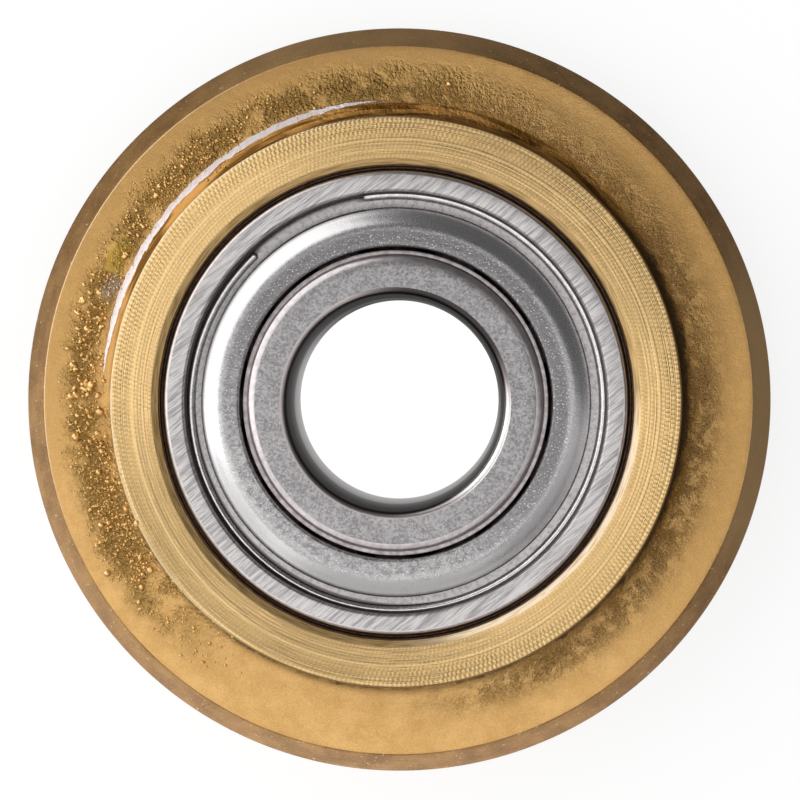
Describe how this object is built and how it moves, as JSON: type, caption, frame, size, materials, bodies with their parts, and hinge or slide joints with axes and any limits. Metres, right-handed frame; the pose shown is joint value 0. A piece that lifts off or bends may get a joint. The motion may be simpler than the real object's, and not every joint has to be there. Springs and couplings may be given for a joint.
{
  "type": "tile cutter wheel",
  "caption": "Gold-coloured scoring wheel with a bevelled edge, pressed on a shielded miniature ball bearing, for the carriage of a tile cutter.",
  "frame": {"origin": "centre of the axle bore, on the wheel's middle plane", "axes": "+Z along the axle, out of the front face that the picture shows; +X to the right and +Y up in the picture"},
  "size_m": [0.0216, 0.0216, 0.005],
  "materials": {
    "gold_carbide": "gold-coloured hard coating on sintered carbide: turned hub face, rough sintered flanks, ground bevels",
    "ground_ring": "ground bearing steel",
    "shield_sheet": "pressed bright sheet steel, slightly pebbled",
    "spring_wire": "drawn spring wire",
    "cage_sheet": "pressed sheet steel",
    "polished_ball": "mirror-polished bearing steel"
  },
  "bodies": {
    "inner_ring": {"inner_ring": "ground_ring"},
    "wheel": {"cutting_wheel": "gold_carbide", "outer_ring": "ground_ring", "front_shield": "shield_sheet", "rear_shield": "shield_sheet", "front_snap_ring": "spring_wire", "rear_snap_ring": "spring_wire"},
    "cage": {"cage_front_half": "cage_sheet", "cage_rear_half": "cage_sheet", "cage_rivets": "cage_sheet"},
    "ball_1": {"ball_1": "polished_ball"},
    "ball_2": {"ball_2": "polished_ball"},
    "ball_3": {"ball_3": "polished_ball"},
    "ball_4": {"ball_4": "polished_ball"},
    "ball_5": {"ball_5": "polished_ball"},
    "ball_6": {"ball_6": "polished_ball"},
    "ball_7": {"ball_7": "polished_ball"},
    "ball_8": {"ball_8": "polished_ball"}
  },
  "joints": [
    {"name": "wheel_spin", "type": "hinge", "parent": "inner_ring", "child": "wheel", "pos_m": [0, 0, 0], "axis": [0, 0, 1], "continuous": true},
    {"name": "cage_orbit", "type": "hinge", "parent": "inner_ring", "child": "cage", "pos_m": [0, 0, 0], "axis": [0, 0, 1], "continuous": true},
    {"name": "ball_1_roll", "type": "hinge", "parent": "cage", "child": "ball_1", "pos_m": [0.00475, 0, 0], "axis": [0, 0, 1], "continuous": true},
    {"name": "ball_2_roll", "type": "hinge", "parent": "cage", "child": "ball_2", "pos_m": [0.00336, 0.00336, 0], "axis": [0, 0, 1], "continuous": true},
    {"name": "ball_3_roll", "type": "hinge", "parent": "cage", "child": "ball_3", "pos_m": [0, 0.00475, 0], "axis": [0, 0, 1], "continuous": true},
    {"name": "ball_4_roll", "type": "hinge", "parent": "cage", "child": "ball_4", "pos_m": [-0.00336, 0.00336, 0], "axis": [0, 0, 1], "continuous": true},
    {"name": "ball_5_roll", "type": "hinge", "parent": "cage", "child": "ball_5", "pos_m": [-0.00475, 0, 0], "axis": [0, 0, 1], "continuous": true},
    {"name": "ball_6_roll", "type": "hinge", "parent": "cage", "child": "ball_6", "pos_m": [-0.00336, -0.00336, 0], "axis": [0, 0, 1], "continuous": true},
    {"name": "ball_7_roll", "type": "hinge", "parent": "cage", "child": "ball_7", "pos_m": [0, -0.00475, 0], "axis": [0, 0, 1], "continuous": true},
    {"name": "ball_8_roll", "type": "hinge", "parent": "cage", "child": "ball_8", "pos_m": [0.00336, -0.00336, 0], "axis": [0, 0, 1], "continuous": true}
  ],
  "couplings": [
    {"joint": "cage_orbit", "follows": "wheel_spin", "ratio": 0.60442},
    {"joint": "ball_1_roll", "follows": "wheel_spin", "ratio": 2.2897},
    {"joint": "ball_2_roll", "follows": "wheel_spin", "ratio": 2.2897},
    {"joint": "ball_3_roll", "follows": "wheel_spin", "ratio": 2.2897},
    {"joint": "ball_4_roll", "follows": "wheel_spin", "ratio": 2.2897},
    {"joint": "ball_5_roll", "follows": "wheel_spin", "ratio": 2.2897},
    {"joint": "ball_6_roll", "follows": "wheel_spin", "ratio": 2.2897},
    {"joint": "ball_7_roll", "follows": "wheel_spin", "ratio": 2.2897},
    {"joint": "ball_8_roll", "follows": "wheel_spin", "ratio": 2.2897}
  ]
}
